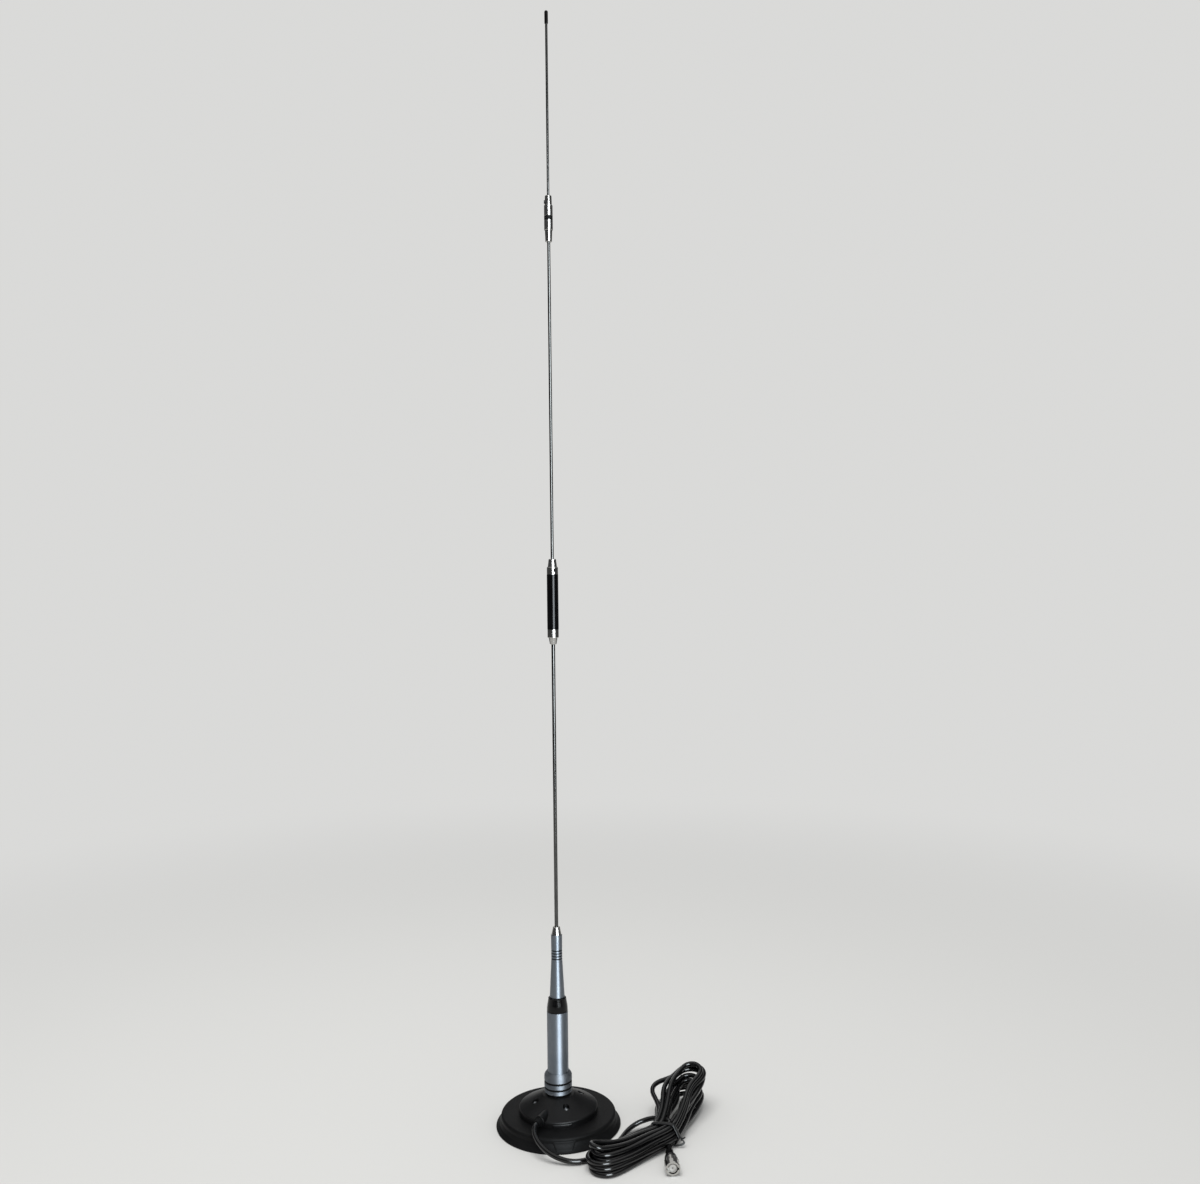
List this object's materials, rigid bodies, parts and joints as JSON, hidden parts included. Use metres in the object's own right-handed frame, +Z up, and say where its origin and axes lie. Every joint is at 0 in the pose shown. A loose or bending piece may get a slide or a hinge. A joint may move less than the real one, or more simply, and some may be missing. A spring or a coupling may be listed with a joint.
{
  "type": "magnetic mount car antenna",
  "caption": "Tall whip antenna with a base coil tube and fold-over neck, screwed to a round magnetic mount with a rubber boot, cone cover, tied coaxial cable and bayonet plug.",
  "frame": {"origin": "centre of the boot's underside, on the surface that the mount stands on", "axes": "+Z up along the whip, -Y the side where the cable leaves, +Y the side the whip folds to"},
  "size_m": [0.2198, 0.1776, 1.1676],
  "materials": {
    "boot_rubber": "matte moulded rubber",
    "zinc_steel": "zinc plated steel",
    "ferrite": "pressed ferrite",
    "cover_plastic": "fine textured moulding",
    "cable_jacket": "smooth soft jacket",
    "white_insulator": "smooth white insulator",
    "nickel": "bright nickel plate",
    "brass": "turned brass",
    "satin_silver": "satin, lightly blasted",
    "gloss_black": "polished black",
    "coil_former": "phenolic",
    "copper_wire": "enamelled copper",
    "stainless": "ground and polished stainless steel",
    "black_steel": "blackened steel",
    "tie_plastic": "plastic coated wire"
  },
  "bodies": {
    "mount": {"rubber_boot": "boot_rubber", "steel_cup": "zinc_steel", "ring_magnet": "ferrite", "cone_cover": "cover_plastic", "cover_screws": "zinc_steel", "cable_gland": "cable_jacket", "inner_lead": "cable_jacket", "socket_body": "nickel", "socket_insulator": "white_insulator", "socket_contact": "brass", "socket_gasket": "boot_rubber", "jam_nut": "zinc_steel", "cable_lead": "cable_jacket", "cable_hank": "cable_jacket", "cable_tail": "cable_jacket", "twist_tie": "tie_plastic", "bnc_body": "nickel", "bnc_insulator": "white_insulator", "bnc_pin": "brass", "bnc_ferrule": "nickel"},
    "antenna_base": {"plug_body": "nickel", "plug_collar": "nickel", "plug_insulator": "white_insulator", "plug_pin": "brass", "base_tube": "satin_silver", "coil_former": "coil_former", "matching_coil": "copper_wire", "fold_collar": "gloss_black", "guide_bush": "brass", "fold_spring": "stainless"},
    "coupling_nut": {"coupling_nut": "satin_silver", "grip_rings": "boot_rubber"},
    "fold_stem": {"fold_tongue": "stainless", "stem_nut": "zinc_steel"},
    "whip": {"hinge_pin": "stainless", "neck_sleeve": "satin_silver", "neck_ferrule": "nickel", "lower_rod": "stainless", "coil_lower_ferrule": "nickel", "coil_core": "coil_former", "coil_winding": "copper_wire", "coil_sleeve": "gloss_black", "coil_upper_ferrule": "nickel", "coil_set_screw": "black_steel", "middle_rod": "stainless", "joint_lower_ferrule": "nickel", "joint_spacer": "gloss_black", "joint_upper_ferrule": "nickel", "joint_set_screw": "black_steel", "top_rod": "stainless", "tip_cap": "gloss_black"},
    "bayonet_ring": {"bayonet_ring": "nickel"}
  },
  "joints": [
    {"name": "antenna_lift", "type": "slide", "parent": "mount", "child": "antenna_base", "axis": [0, 0, 1], "range_m": [0, 0.01058]},
    {"name": "nut_turn", "type": "hinge", "parent": "antenna_base", "child": "coupling_nut", "pos_m": [0, 0, 0.0452], "axis": [0, 0, 1], "range_deg": [0, 3650]},
    {"name": "fold_lift", "type": "slide", "parent": "antenna_base", "child": "fold_stem", "axis": [0, 0, 1], "range_m": [0, 0.013], "deforming": ["fold_spring"]},
    {"name": "fold_tilt", "type": "hinge", "parent": "fold_stem", "child": "whip", "pos_m": [0, 0, 0.1433], "axis": [-1, 0, 0], "range_deg": [0, 90]},
    {"name": "bayonet_turn", "type": "hinge", "parent": "mount", "child": "bayonet_ring", "pos_m": [0.1083, -0.112, 0.0073], "axis": [0, 1, 0], "continuous": true}
  ],
  "couplings": [
    {"joint": "nut_turn", "follows": "antenna_lift", "rad_per_m": 5936.9},
    {"joint": "fold_lift", "follows": "fold_tilt", "m_per_rad": 0.0082}
  ]
}
